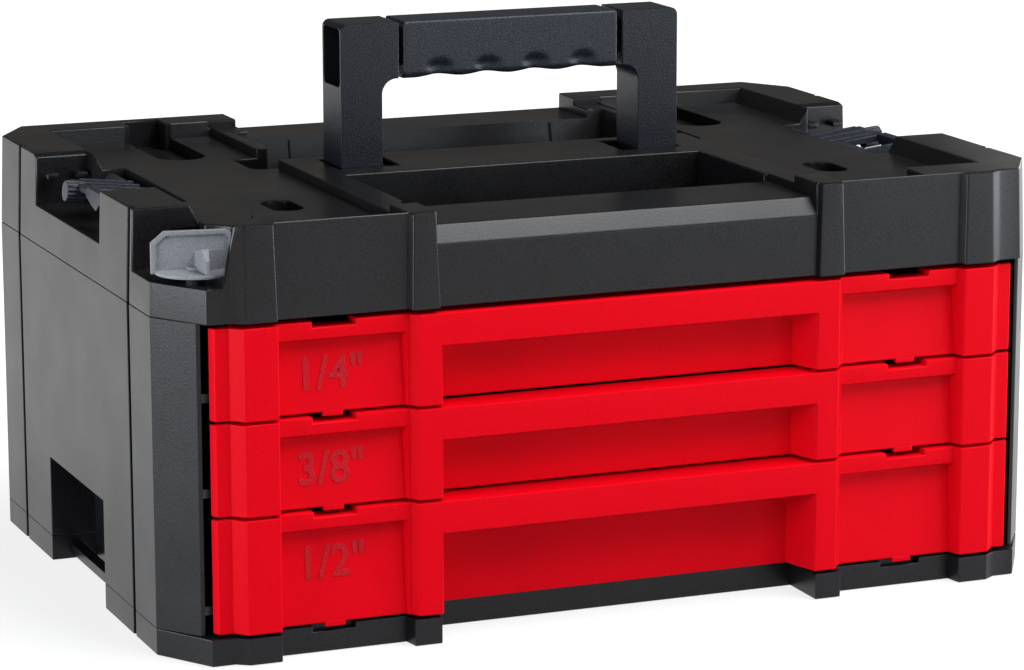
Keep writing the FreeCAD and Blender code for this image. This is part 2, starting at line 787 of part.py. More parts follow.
def cover_top_cuts():
    """Everything that is sunk into the top of the cover block."""
    rear_edge = case_depth - rear_border_width
    above = cover_top + 2
    cuts = [
        # Between the two posts: the slope over the pull, the bare ledge and the front tray.
        prism_x([
            (-5, band_bottom),
            (cover_middle_face, band_bottom),
            (band_rear, ledge),
            (tray_front + 1, ledge),
            (tray_front + 1, above),
            (-5, above),
        ], -mid_post_inner, mid_post_inner),
        box(-platform_half_width, platform_half_width, post_top_rear, ridge_rear + 1,
            platform, above),
        box(-tray_half_width, tray_half_width, tray_front, ridge_front, tray_floor, above),
        # Behind the ridge: the rear trough, the low middle of the border, and the rails.
        prism_x([
            (ridge_rear, trough_floor),
            (trough_rear - border_slope, trough_floor),
            (trough_rear, deck),
            (trough_rear, above),
            (ridge_rear, above),
        ], -trough_half_width, trough_half_width),
        box(-border_gap_half, border_gap_half, trough_rear - 1, case_depth + 1, deck, above),
        box(-platform_half_width - 1, platform_half_width + 1, rail_front - 1, rear_edge,
            platform, above),
    ]
    # Decks to the left and right of the ridge, with sloping sides under the outer blocks.
    slope_above = border_slope * (above - cover_top) / border_height
    draft_above = rear_border_draft * (above - cover_top) / border_height
    flank = prism_y([
        (platform_half_width, deck),
        (block_inner - border_slope, deck),
        (block_inner + slope_above, above),
        (platform_half_width, above),
    ], 2.5 * wall, case_depth)
    front_of_border = prism_x([
        (0, deck),
        (rear_edge - rear_border_draft, deck),
        (rear_edge + draft_above, above),
        (0, above),
    ], platform_half_width, half_width)
    flank = flank.common(front_of_border)
    # A round-cornered recess opens into the trough in front of the end of each rail.
    recess = box(trough_half_width - 1, recess_outer, ridge_rear, rail_front,
                 deck - recess_drop, above)
    corner = [edge for edge in recess.Edges
              if edge.BoundBox.ZLength > 1 and edge.BoundBox.YMax < ridge_rear + 1
              and edge.BoundBox.XMin > recess_outer - 1]
    recess = recess.makeFillet(recess_corner, corner)
    latch = box(latch_pocket_inner, half_width + 1, latch_pocket_front, latch_pocket_rear,
                pocket_floor, above)
    latch_step = prism_x([
        (latch_pocket_rear - 1, pocket_floor),
        (pocket_step_rear, pocket_floor),
        (pocket_step_rear, cover_top - pocket_step_drop),
        (pocket_step_rear + pocket_step_slope, cover_top),
        (pocket_step_rear + pocket_step_slope, above),
        (latch_pocket_rear - 1, above),
    ], pocket_step_inner, half_width + 1)
    channel_floor = deck - channel_depth
    notch = box(rear_notch_centre - rear_notch_half, rear_notch_centre + rear_notch_half,
                channel_front, rear_notch_rear, channel_floor, above)
    channel = box(rear_notch_centre - channel_radius, rear_notch_centre + channel_radius,
                  channel_front, rear_edge, channel_floor, above)
    channel_end = post(rear_notch_centre, channel_front, channel_floor, above, channel_radius)
    slot_floor = deck - 2 * wall
    slot = box(foot_slot_x - foot_slot_radius, foot_slot_x + foot_slot_radius,
               foot_slot_front, foot_slot_rear, slot_floor, above)
    slot_front = post(foot_slot_x, foot_slot_front, slot_floor, above, foot_slot_radius)
    slot_rear = post(foot_slot_x, foot_slot_rear, slot_floor, above, foot_slot_radius)
    for shape in (flank, recess, latch, latch_step, notch, channel, channel_end, slot,
                  slot_front, slot_rear):
        cuts += both_sides(shape)
    return cuts


def lever_corner_cuts():
    """The round well for the lock lever and the open corner in front of it."""
    well = post(lock_x, lock_y, lever_floor, cover_top + 2, lever_well_radius)
    corner = prism([
        (-half_width - 2, -2),
        (lock_x, -2),
        (lock_x, lock_y),
        (border_slope + 0.5 - block_inner, lock_y),
        (border_slope + 0.5 - block_inner, corner_rear),
        (-half_width - 2, corner_rear),
    ], lever_floor, cover_top + 2)
    lean = prism_y([
        (-half_width - 2, lever_floor),
        (-facet_inner - 3, lever_floor),
        (-facet_inner + 3, cover_top + 2),
        (-half_width - 2, cover_top + 2),
    ], -2, 11)
    guard = prism([
        (-corner_post_outer - 4, -3),
        (-mid_post_outer, -3),
        (-mid_post_outer, guard_rear),
        (-corner_post_outer - 4, guard_rear),
    ], lever_floor - 1, cover_top + 3)
    return well.cut(guard).fuse([corner, lean]).cut(guard.cut(lean))


def build_cover():
    """Top cover: one hollow moulding with decks, tray, ridge, trough, wells and handle sleeves."""
    outline = case_outline(cover_middle_face, cover_recess_face)
    block = tapered(outline, seam, cover_top, cover_draft)
    block = block.cut(cover_top_cuts())
    block = block.cut(side_grooves(seam - 1, cover_top + 1, draft=cover_draft))
    hollow = cover_underside().cut(cover_pockets())
    hollow = hollow.cut(side_grooves(seam - 2, cover_top, draft=cover_draft, around=wall))
    head = prism([
        (post_head_inner, post_head_front),
        (block_inner + 1, post_head_front),
        (block_inner + 1, post_head_rear),
        (post_head_inner + 2, post_head_rear),
        (post_head_inner, post_head_rear - 4),
    ], deck - 1, cover_top)
    block = block.cut(hollow).fuse(both_sides(head))
    block = block.cut(lever_corner_cuts())

    trough_rib = prism_x([
        (trough_rear - border_slope - 1.2, trough_floor - 1),
        (trough_rear - border_slope + 1, trough_floor - 1),
        (trough_rear + 1, deck - 1),
        (trough_rear - 1.2, deck - 1),
    ], trough_rib_x - 0.8, trough_rib_x + 0.8)
    right_additions = [trough_rib]
    for x in lug_places:
        right_additions.append(box(x - 3, x + 3, pocket_step_rear - lug_reach,
                                   pocket_step_rear + 1, hinge_z + 2.3, hinge_z + 5.3))
    tubes = box(sleeve_inner - sleeve_wall, sleeve_outer + sleeve_wall,
                sleeve_front - sleeve_wall, sleeve_rear + sleeve_wall,
                sleeve_floor - 1.5, mouth_floor)
    stop_room = box(sleeve_inner - stop_reach - sleeve_wall, sleeve_inner,
                    sleeve_front, sleeve_rear, sleeve_floor - 1.5, mouth_floor)
    right_additions += [tubes, stop_room]
    additions = []
    for shape in right_additions:
        additions += both_sides(shape)
    block = block.fuse(additions)

    bore = box(sleeve_inner, sleeve_outer, sleeve_front, sleeve_rear, sleeve_floor,
               platform + 1)
    stop_slot = box(sleeve_inner - stop_reach, sleeve_inner + 1,
                    handle_front + handle_depth / 2 - stop_half_depth - sleeve_gap,
                    handle_front + handle_depth / 2 + stop_half_depth + sleeve_gap,
                    sleeve_floor, mouth_floor - wall)
    mouth = box(mouth_inner, sleeve_outer + 1, sleeve_front - 1, sleeve_rear + 1,
                mouth_floor, platform + 1)
    cuts = both_sides(bore) + both_sides(stop_slot) + both_sides(mouth)
    pin_hole = bar_along_y(hinge_x, hinge_z, latch_pocket_front - wall - 1,
                           latch_pocket_rear + wall + 1, pin_radius + running_gap)
    cuts += both_sides(pin_hole)
    for y in flange_places:
        hole = post(column_x, y, seam - 1, seam + cover_screw_reach + 1,
                    screw_radius + running_gap)
        cuts += both_sides(hole)
    cuts.append(post(lock_x, lock_y, seam - 1, lever_floor + 1, bush_radius + running_gap))
    return block.cut(cuts).removeSplitter()


def build_handle_frame():
    """Bail: two legs with a short arm each, joined by a slim bar that carries the grip."""
    frame = box(-handle_half_width, handle_half_width, handle_front,
                handle_front + handle_depth, leg_bottom, handle_top)
    inner = handle_half_width - leg_width
    frame = frame.makeFillet(outer_fillet, edges_along_y(frame, handle_top))
    window = box(-inner, inner, handle_front - 1, handle_front + handle_depth + 1,
                 leg_bottom - 1, grip_bottom)
    window = window.makeFillet(inner_fillet, edges_along_y(window, grip_bottom))
    upper = box(-groove_outer, groove_outer, handle_front - 1,
                handle_front + handle_depth + 1, grip_bottom - 3, handle_top + 1)
    core = box(-groove_outer - 1, groove_outer + 1, handle_front + core_setback,
               handle_front + handle_depth - core_setback, grip_bottom + core_setback,
               handle_top - core_setback)
    side_slot = box(handle_half_width - side_slot_depth, handle_half_width + 1,
                    handle_front + side_slot_wall,
                    handle_front + handle_depth - side_slot_wall,
                    grip_bottom - 3, handle_top - side_slot_wall - 0.7)
    side_slot = side_slot.makeFillet(side_slot_fillet, edges_along_x(side_slot))
    leg_core = box(inner + 3, handle_half_width - 3, handle_front + 3,
                   handle_front + handle_depth - 3, leg_bottom - 1, grip_bottom - 10)
    frame = frame.cut([window, upper] + both_sides(side_slot) + both_sides(leg_core))
    return frame.fuse(core).removeSplitter()


def build_handle_grip():
    """Grip shell around the bar, with shallow finger waves below and dents at their front."""
    grip = box(-groove_inner, groove_inner, handle_front, handle_front + handle_depth,
               grip_bottom - finger_rise, handle_top)
    cuts = [
        box(-groove_inner - 1, groove_inner + 1, handle_front + core_setback,
            handle_front + handle_depth - core_setback, grip_bottom + core_setback,
            handle_top - core_setback),
    ]
    for step in (-1.5, -0.5, 0.5, 1.5):
        cuts.append(bar_along_y(step * finger_pitch, grip_bottom + finger_rise - finger_radius,
                                handle_front - 1, handle_front + handle_depth + 1,
                                finger_radius))
        middle = Vector(step * finger_pitch, handle_front + finger_dent_depth - finger_dent,
                        grip_bottom - 1.5)
        cuts.append(Part.makeSphere(finger_dent, middle))
    return grip.cut(cuts).removeSplitter()


def build_handle_stops():
    """Two clipped-on stops that catch under the sleeve mouths when the handle is up."""
    inner = handle_half_width - leg_width
    middle = handle_front + handle_depth / 2
    top = mouth_floor - wall - slide_gap
    stop = box(inner - stop_reach + sleeve_gap, inner, middle - stop_half_depth,
               middle + stop_half_depth, top - stop_height, top)
    return Part.makeCompound(both_sides(stop))


def build_latch():
    """Right side latch: hinge barrel, ribbed plate with a window, and a hooked outer bar."""
    z = hinge_z
    plate_low = z + 0.6
    plate_top = z + 3.6
    outer = hinge_x + latch_reach
    rail = outer - 5
    plate = box(hinge_x - 3, outer, latch_front, latch_rear, plate_low, plate_top)
    barrel = bar_along_y(hinge_x, z, latch_pocket_front + slide_gap,
                         latch_pocket_rear - slide_gap, barrel_radius)
    thumb_y = latch_rear - thumb_setback
    thumb_z = plate_top + 1 - thumb_radius
    thumb = bar_along_x(rail, outer + thumb_reach, thumb_y, thumb_z, thumb_radius)
    claw_rear = latch_front + claw_depth
    claw = prism_x([
        (latch_front, plate_top + 1),
        (claw_rear + 10, plate_top + 1),
        (claw_rear + 10, plate_low - 1),
        (claw_rear + 5, plate_low - 2),
        (claw_rear, z - 3),
        (latch_front + 10, z - 4.5),
        (latch_front + 6, z - 1),
        (latch_front, z - 1),
    ], rail, outer)
    window = box(hinge_x + 5, rail, latch_front + 5, latch_front + 28,
                 plate_low - 1, plate_top + 1)
    ribs = [box(hinge_x - 3, outer, latch_front, latch_front + 2, plate_top - 1, plate_top + 1)]
    for step in range(3):
        y = latch_rear - 3 - step * latch_rib_pitch
        ribs.append(box(hinge_x - 3, rail + 1, y - 1, y + 1, plate_top - 1, plate_top + 1))
    flutes = []
    for step in range(10):
        turn = radians(60 + step * 24)
        flutes.append(bar_along_x(rail - 1, outer + thumb_reach + 1,
                                  thumb_y + (thumb_radius + 0.3) * cos(turn),
                                  thumb_z + (thumb_radius + 0.3) * sin(turn), 0.7))
    latch = plate.fuse([barrel, thumb, claw] + ribs)
    bore = bar_along_y(hinge_x, z, latch_pocket_front - 1, latch_pocket_rear + 1,
                       pin_radius + running_gap)
    latch = latch.cut([bore, window] + flutes)
    latch.rotate(Vector(hinge_x, 0, z), Vector(0, 1, 0), -latch_tilt)
    return latch.removeSplitter()


def bar_along_x(x0, x1, y, z, radius):
    return Part.makeCylinder(radius, x1 - x0, Vector(x0, y, z), Vector(1, 0, 0))


def build_latch_pin():
    return bar_along_y(hinge_x, hinge_z, latch_pocket_front - wall, latch_pocket_rear + wall,
                       pin_radius)


def build_lever():
    """Grey lock lever: round-edged plate, raised back wall with a rim, and a thumb fin."""
    z0 = lever_floor + lever_lift
    plate_top = z0 + lever_plate
    top = z0 + lever_height
    plate = post(lock_x, lock_y, z0, plate_top, lever_radius)
    behind = box(lock_x - 30, lock_x + 30, lock_y + lever_wall_offset, lock_y + 30, z0 - 1, top)
    left = lock_x - lever_radius - 1.6
    right = lock_x + lever_lean
    back = prism_y([
        (left, z0),
        (right, z0),
        (right, top - 3),
        (right - 3, top),
        (left + 6, top),
        (left, top - 5),
    ], lock_y + lever_wall_offset - 2.5, lock_y + lever_wall_offset)
    field = prism_y([
        (left + 2.5, plate_top),
        (right - 2, plate_top),
        (right - 2, top - 4),
        (right - 4, top - 2.2),
        (left + 7, top - 2.2),
        (left + 2.5, top - 6),
    ], lock_y + lever_wall_offset - 3, lock_y + lever_wall_offset - 1.4)
    fin = prism_x([
        (lock_y - fin_reach, plate_top - 1),
        (lock_y - fin_reach + 1, plate_top + 6.5),
        (lock_y - 10, plate_top + 10.4),
        (lock_y, plate_top + 8),
        (lock_y, plate_top - 1),
    ], lock_x - 0.5, lock_x + 15)
    hollow = post(lock_x + 16.5, lock_y - fin_reach, plate_top, plate_top + 12,
                  fin_hollow_radius)
    lever = plate.cut(behind).fuse(back.cut(field))
    lever.rotate(Vector(lock_x, lock_y, 0), Vector(0, 0, 1), -10)
    lever = lever.fuse(fin.cut(hollow))
    low = lever_floor + slide_gap
    hub = post(lock_x, lock_y, low, low + 5.5, bush_radius)
    bore = post(lock_x, lock_y, low - 1, low + 4, rod_radius + running_gap)
    return lever.fuse(hub).cut(bore).removeSplitter()


def build_lock_rod():
    """Steel rod with one tongue for each drawer, all pointing forwards while unlocked."""
    rod = post(lock_x, lock_y, plinth_height - 3.5, lever_floor + slide_gap + 4, rod_radius)
    tongues = []
    for level in tongue_levels:
        tongue = box(lock_x, lock_x + tongue_length, lock_y - tongue_width / 2,
                     lock_y + tongue_width / 2, level - tongue_thickness / 2,
                     level + tongue_thickness / 2)
        tongue.rotate(Vector(lock_x, lock_y, 0), Vector(0, 0, 1), tongue_rest_angle)
        tongues.append(tongue)
    return rod.fuse(tongues).removeSplitter()


def build_lock_bushes():
    """Bushes in the base and under the lever well that the lock rod turns in."""
    low = post(lock_x, lock_y, plinth_height - 4, plinth_height + 3, bush_radius)
    high = post(lock_x, lock_y, lever_floor - wall - 4, lever_floor - 0.2, bush_radius)
    bore = post(lock_x, lock_y, plinth_height - 3.5, lever_floor + 1, rod_radius + running_gap)
    return Part.makeCompound([low.cut(bore), high.cut(bore)])


def build_base_screws():
    """Six screws up through the plinth into the columns of the side shells."""
    screws = []
    for y in column_places:
        head = post(column_x, y, base_floor - screw_head_height, base_floor, screw_head_radius)
        shank = post(column_x, y, base_floor - 0.5, column_top - 6, screw_radius)
        slot = box(column_x - 3, column_x + 3, y - 0.5, y + 0.5, base_floor - 3,
                   base_floor - screw_head_height + 1)
        screws += both_sides(head.fuse(shank).cut(slot))
    return Part.makeCompound(screws)


def build_cover_screws():
    """Six screws up through the flanges of the side shells into the bosses of the cover."""
    screws = []
    low = seam - flange_thickness
    for y in flange_places:
        head = post(column_x, y, low - screw_head_height, low, screw_head_radius)
        shank = post(column_x, y, low - 0.5, seam + cover_screw_reach, screw_radius)
        slot = box(column_x - 3, column_x + 3, y - 0.5, y + 0.5, low - 3,
                   low - screw_head_height + 1)
        screws += both_sides(head.fuse(shank).cut(slot))
    return Part.makeCompound(screws)


side_shell = build_side_shell()
runner_panel = build_runner_panel()
latch = build_latch()
latch_pin = build_latch_pin()

save("base_plinth", build_base())
save("side_shell_right", side_shell)
save("side_shell_left", flip(side_shell))
save("back_panel", build_back_panel())
save("runner_panel_right", runner_panel)
save("runner_panel_left", flip(runner_panel))
save("top_cover", build_cover())
save("base_screws", build_base_screws())
save("cover_screws", build_cover_screws())

for index, place in enumerate(front_names):
    save(f"{place}_drawer_front", build_front(index))
    save(f"{place}_drawer_tub", build_tub(index))
    save(f"{place}_socket_tray", build_socket_tray(index))
    save(f"{place}_front_screws", build_front_screws(index))

save("handle_frame", build_handle_frame())
save("handle_grip", build_handle_grip())
save("handle_stops", build_handle_stops())
save("latch_right", latch)
save("latch_left", flip(latch))
save("latch_pin_right", latch_pin)
save("latch_pin_left", flip(latch_pin))
save("lock_lever", build_lever())
save("lock_rod", build_lock_rod())
save("lock_bushes", build_lock_bushes())
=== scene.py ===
from math import cos, exp, pi, radians, sin, sqrt

import bmesh
import bpy
from mathutils import Matrix, Vector


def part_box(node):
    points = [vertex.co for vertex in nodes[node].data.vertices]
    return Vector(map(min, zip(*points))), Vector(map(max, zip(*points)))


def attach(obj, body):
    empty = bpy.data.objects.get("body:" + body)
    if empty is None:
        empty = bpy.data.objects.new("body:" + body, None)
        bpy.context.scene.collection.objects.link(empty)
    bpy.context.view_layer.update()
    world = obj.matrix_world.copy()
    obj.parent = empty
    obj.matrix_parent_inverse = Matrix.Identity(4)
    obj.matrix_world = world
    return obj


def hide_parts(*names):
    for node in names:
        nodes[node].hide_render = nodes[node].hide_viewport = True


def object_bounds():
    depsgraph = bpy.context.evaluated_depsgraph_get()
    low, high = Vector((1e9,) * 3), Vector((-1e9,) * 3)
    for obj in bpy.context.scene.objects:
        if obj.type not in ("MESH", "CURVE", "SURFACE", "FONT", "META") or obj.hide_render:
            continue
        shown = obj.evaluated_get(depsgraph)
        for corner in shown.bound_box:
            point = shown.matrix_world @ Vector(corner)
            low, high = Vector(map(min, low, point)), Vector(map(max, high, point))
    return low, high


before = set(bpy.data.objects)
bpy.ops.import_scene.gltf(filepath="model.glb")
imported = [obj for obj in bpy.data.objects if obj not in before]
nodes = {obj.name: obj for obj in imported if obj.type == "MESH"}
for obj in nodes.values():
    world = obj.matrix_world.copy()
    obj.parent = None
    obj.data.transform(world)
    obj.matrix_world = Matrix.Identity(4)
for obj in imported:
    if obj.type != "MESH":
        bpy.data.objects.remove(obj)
cad_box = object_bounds()
scene = bpy.context.scene
scene.view_settings.view_transform = "Standard"


# ---- Camera
# A long lens from the front left, a little above the box, with the axis of the lens in the
# middle of the picture.
camera_data = bpy.data.cameras.new("camera")
camera_data.sensor_width = 36.0
camera_data.lens = 135.41
camera_data.clip_end = 50.0
camera = bpy.data.objects.new("camera", camera_data)
camera_right = Vector((0.9261023, -0.3772694, -0.0015092))
camera_up = Vector((0.0801053, 0.1927262, 0.9779774))
camera_back = camera_right.cross(camera_up)
camera_turn = Matrix((camera_right, camera_up, camera_back)).transposed()
camera.matrix_world = Matrix.LocRotScale(Vector((-0.699783, -1.728372, 0.502637)),
                                         camera_turn, None)
scene.collection.objects.link(camera)
scene.camera = camera


# ---- Case shells: plinth, side shells and back panel
# Black mouldings with a fine spark-eroded grain, a low gloss and a faint painted glint on the
# grain. Their edges are rounded by half a millimetre and painted pale grey, a painted highlight,
# and they are screwed to each other from below.
def rounded(node, radius, least_angle=28.0):
    """A merged copy of a node's shell whose rounded outer edges get a second material, a painted
    highlight.
    """
    name = node + "_shell"
    mesh = bpy.data.meshes.new(name)
    shape = bmesh.new()
    shape.from_mesh(nodes[node].data)
    bmesh.ops.remove_doubles(shape, verts=shape.verts, dist=2e-6)
    bmesh.ops.dissolve_limit(shape, angle_limit=radians(0.6), verts=shape.verts,
                             edges=shape.edges)
    edges = []
    for edge in shape.edges:
        if len(edge.link_faces) == 2 and edge.is_convex:
            if edge.calc_face_angle() > radians(least_angle):
                edges.append(edge)
    for face in shape.faces:
        face.material_index = 0
        face.smooth = True
    bmesh.ops.bevel(shape, geom=edges, offset=radius, offset_type="OFFSET", segments=2,
                    profile=0.5, affect="EDGES", clamp_overlap=False, material=1)
    bmesh.ops.triangulate(shape, faces=[face for face in shape.faces if len(face.verts) > 4])
    for face in shape.faces:
        face.smooth = True
    shape.to_mesh(mesh)
    shape.free()
    if "custom_normal" in mesh.attributes:
        mesh.attributes.remove(mesh.attributes["custom_normal"])
    mesh.set_sharp_from_angle(angle=radians(40.0))
    piece = bpy.data.objects.new(name, mesh)
    scene.collection.objects.link(piece)
    even = piece.modifiers.new("even faces", "WEIGHTED_NORMAL")
    even.keep_sharp = True
    even.weight = 80
    return piece


def dress(piece, *materials):
    piece.data.materials.clear()
    for material in materials:
        piece.data.materials.append(material)


def stand_in(node, body, slot, radius, *materials):
    """Rounds a copy of a node, gives it its materials, and shows it in the node's place."""
    piece = rounded(node, radius)
    dress(piece, *materials)
    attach(piece, body)
    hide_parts(node)
    return piece


def link(tree, source, output, target, socket):
    tree.links.new(source.outputs[output], target.inputs[socket])


def moulded(name, colour, roughness, grain=0.8, grain_size=0.0009, sheen_change=0.08,
            shade_change=0.3, smudge=0.035, specular=0.35, painted_glint=0.0):
    """Moulded plastic: eroded grain, faint flow clouds, and a polish that changes over it.

    The painted glint is a painted highlight: how much paler, and a little bluish, the tops of the
    grain are painted."""
    material = bpy.data.materials.new(name)
    material.use_nodes = True
    tree = material.node_tree
    shader = tree.nodes["Principled BSDF"]
    shader.inputs["Specular IOR Level"].default_value = specular
    place = tree.nodes.new("ShaderNodeTexCoord")

    fine = tree.nodes.new("ShaderNodeTexNoise")
    fine.inputs["Scale"].default_value = 1.0 / grain_size
    fine.inputs["Detail"].default_value = 2.0
    fine.inputs["Roughness"].default_value = 0.6
    link(tree, place, "Object", fine, "Vector")
    bump = tree.nodes.new("ShaderNodeBump")
    bump.inputs["Strength"].default_value = grain
    bump.inputs["Distance"].default_value = 0.0003
    link(tree, fine, "Fac", bump, "Height")
    tree.links.new(bump.outputs["Normal"], shader.inputs["Normal"])

    clouds = tree.nodes.new("ShaderNodeTexNoise")
    clouds.inputs["Scale"].default_value = 1.0 / smudge
    clouds.inputs["Detail"].default_value = 4.0
    link(tree, place, "Object", clouds, "Vector")
    polish = tree.nodes.new("ShaderNodeMapRange")
    polish.inputs["To Min"].default_value = roughness - sheen_change
    polish.inputs["To Max"].default_value = roughness + sheen_change
    link(tree, clouds, "Fac", polish, "Value")
    link(tree, polish, "Result", shader, "Roughness")

    speckle = tree.nodes.new("ShaderNodeMapRange")
    speckle.inputs["From Min"].default_value = 0.35
    speckle.inputs["From Max"].default_value = 0.65
    link(tree, fine, "Fac", speckle, "Value")
    cloud_share = tree.nodes.new("ShaderNodeMath")
    cloud_share.operation = "MULTIPLY"
    cloud_share.inputs[1].default_value = 0.3
    link(tree, clouds, "Fac", cloud_share, 0)
    blend = tree.nodes.new("ShaderNodeMath")
    blend.operation = "MULTIPLY_ADD"
    blend.inputs[1].default_value = 0.7
    link(tree, speckle, "Result", blend, 0)
    link(tree, cloud_share, "Value", blend, 2)
    tint = tree.nodes.new("ShaderNodeMix")
    tint.data_type = "RGBA"
    darker = [channel * (1.0 - shade_change) for channel in colour]
    # Painted highlight: the painted glint is added to the paler grain tone, a little bluish.
    painted_glints = (painted_glint * 0.9, painted_glint, painted_glint * 1.2)
    lighter_with_painted_glint = [min(1.0, channel * (1.0 + shade_change) + extra)
               for channel, extra in zip(colour, painted_glints)]
    tint.inputs["A"].default_value = (*darker, 1.0)
    tint.inputs["B"].default_value = (*lighter_with_painted_glint, 1.0)
    link(tree, blend, "Value", tint, "Factor")
    link(tree, tint, "Result", shader, "Base Color")
    return material


case_black = moulded("case_black", (0.0035, 0.0035, 0.0044), 0.31, grain=0.25,
                     grain_size=0.0008, shade_change=0.7, specular=0.25, painted_glint=0.005)
case_edge_highlight = moulded("case_edge_highlight", (0.22, 0.23, 0.25), 0.30, grain=0.3, shade_change=0.6,
                    smudge=0.02, specular=0.5)
for node in ("base_plinth", "side_shell_left", "side_shell_right", "back_panel"):
    stand_in(node, "case", "shell_black", 0.0005, case_black, case_edge_highlight)

# Stiffening ribs under the floor of the plinth, in both directions.
rib_height = 0.0025
rib_thickness = 0.0016
rib_root = 0.0002
floor_level = 0.008
recess_half = 0.190
recess_front = -0.115
recess_rear = 0.127
cross_rib_count = 6
long_rib_count = 9

rib_row = bpy.data.node_groups.new("rib row", "GeometryNodeTree")
rib_row.interface.new_socket("Geometry", in_out="INPUT", socket_type="NodeSocketGeometry")
rib_inputs = {}
for label, kind in (("Rib Size", "NodeSocketVector"), ("First Rib", "NodeSocketVector"),
                    ("Step", "NodeSocketVector"), ("Count", "NodeSocketInt"),
                    ("Material", "NodeSocketMaterial")):
    socket = rib_row.interface.new_socket(label, in_out="INPUT", socket_type=kind)
    rib_inputs[label] = socket.identifier
rib_row.interface.new_socket("Geometry", in_out="OUTPUT", socket_type="NodeSocketGeometry")
rib_given = rib_row.nodes.new("NodeGroupInput")
rib_result = rib_row.nodes.new("NodeGroupOutput")
rib_line = rib_row.nodes.new("GeometryNodeMeshLine")
rib_bar = rib_row.nodes.new("GeometryNodeMeshCube")
rib_copies = rib_row.nodes.new("GeometryNodeInstanceOnPoints")
rib_real = rib_row.nodes.new("GeometryNodeRealizeInstances")
rib_finish = rib_row.nodes.new("GeometryNodeSetMaterial")
link(rib_row, rib_given, "Rib Size", rib_bar, "Size")
link(rib_row, rib_given, "First Rib", rib_line, "Start Location")
link(rib_row, rib_given, "Step", rib_line, "Offset")
link(rib_row, rib_given, "Count", rib_line, "Count")
link(rib_row, rib_line, "Mesh", rib_copies, "Points")
link(rib_row, rib_bar, "Mesh", rib_copies, "Instance")
link(rib_row, rib_copies, "Instances", rib_real, "Geometry")
link(rib_row, rib_real, "Geometry", rib_finish, "Geometry")
link(rib_row, rib_given, "Material", rib_finish, "Material")
link(rib_row, rib_finish, "Geometry", rib_result, "Geometry")


def ribs(name, size, first, step, count):
    """A row of equal ribs as one plain mesh on the case."""
    piece = bpy.data.objects.new(name, bpy.data.meshes.new(name))
    scene.collection.objects.link(piece)
    row = piece.modifiers.new("rib row", "NODES")
    row.node_group = rib_row
    row[rib_inputs["Rib Size"]] = size
    row[rib_inputs["First Rib"]] = first
    row[rib_inputs["Step"]] = step
    row[rib_inputs["Count"]] = count
    row[rib_inputs["Material"]] = case_black
    made = piece.evaluated_get(bpy.context.evaluated_depsgraph_get())
    mesh = bpy.data.meshes.new_from_object(made)
    piece.modifiers.clear()
    piece.data = mesh
    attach(piece, "case")


rib_level = floor_level + rib_root - rib_height / 2
rib_middle = (recess_front + recess_rear) / 2
cross_step = (recess_rear - recess_front) / (cross_rib_count + 1)
long_step = 2 * recess_half / (long_rib_count + 1)
ribs("cross_ribs", (2 * recess_half, rib_thickness, rib_height),
     (0.0, recess_front + cross_step, rib_level), (0.0, cross_step, 0.0), cross_rib_count)
ribs("long_ribs", (rib_thickness, recess_rear - recess_front, rib_height),
     (long_step - recess_half, rib_middle, rib_level), (long_step, 0.0, 0.0), long_rib_count)

inner_black = moulded("inner_black", (0.007, 0.007, 0.008), 0.5, grain=0.5)
for node in ("runner_panel_left", "runner_panel_right", "lock_bushes"):
    dress(nodes[node], inner_black)


# ---- Drawer fronts
# Each is one moulding in solid red plastic, with a hanging lip over its finger pull. Four screws
# from inside its tub hold it on.
front_red = moulded("front_red", (0.71, 0.0014, 0.0085), 0.40, grain=0.25, sheen_change=0.05,
                    shade_change=0.05, specular=0.05)
# The rounded edges of each front are painted pale pink, a painted highlight.
front_edge_highlight = moulded("front_edge_highlight", (0.95, 0.28, 0.30), 0.34, grain=0.2, sheen_change=0.05,
                     shade_change=0.3, smudge=0.02)
# The figures are painted a darker red than the front, painted shade on their strokes.
figure_shaded_red = moulded("figure_shaded_red", (0.48, 0.0030, 0.0110), 0.5, grain=0.9, sheen_change=0.05,
                     shade_change=0.25, specular=0.2)
fraction_left = -0.1606
fraction_drop = 0.0312
fraction_height = 0.0144
fraction_rise = 0.00018
fraction_edge = 0.00012
fraction_weight = 0.00035
fraction_stretch = 0.92
fraction_spacing = 1.04
figure_share = 0.70
scoop_top = 0.0095
scoop_bottom = 0.0070
scoop_lip = 0.0095
face_y = cad_box[0][1]


def fraction(words, level):
    """The size of the sockets in a drawer, as figures that stand a little proud of its scoop."""
    low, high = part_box(level + "_drawer_front")
    bottom = low[2] + 0.001
    top = high[2] - scoop_lip
    slope = (scoop_top - scoop_bottom) / (top - bottom)
    base = high[2] - fraction_drop
    depth = scoop_bottom + slope * (base - bottom)
    upward = Vector((0.0, slope, 1.0)).normalized()
    across = Vector((1.0, 0.0, 0.0))
    outward = across.cross(upward)
    text = bpy.data.curves.new(level + "_fraction_line", "FONT")
    text.body = words
    text.size = fraction_height / figure_share
    text.extrude = fraction_rise
    text.bevel_depth = fraction_edge
    text.offset = fraction_weight
    text.space_character = fraction_spacing
    line = bpy.data.objects.new(level + "_fraction_line", text)
    scene.collection.objects.link(line)
    mesh = bpy.data.meshes.new_from_object(line.evaluated_get(
        bpy.context.evaluated_depsgraph_get()))
    bpy.data.objects.remove(line)
    mesh.name = level + "_fraction"
    mesh.transform(Matrix.Scale(fraction_stretch, 4, (1, 0, 0)))
    turn = Matrix((across, upward, outward)).transposed().to_4x4()
    mesh.transform(Matrix.Translation((fraction_left, face_y + depth, base)) @ turn)
    piece = bpy.data.objects.new(level + "_fraction", mesh)
    scene.collection.objects.link(piece)
    return piece


for level, words in (("bottom", '1/2"'), ("middle", '3/8"'), ("top", '1/4"')):
    stand_in(level + "_drawer_front", "drawer_" + level, "front_red", 0.0006,
             front_red, front_edge_highlight)
    figures = fraction(words, level)
    dress(figures, figure_shaded_red)
    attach(figures, "drawer_" + level)


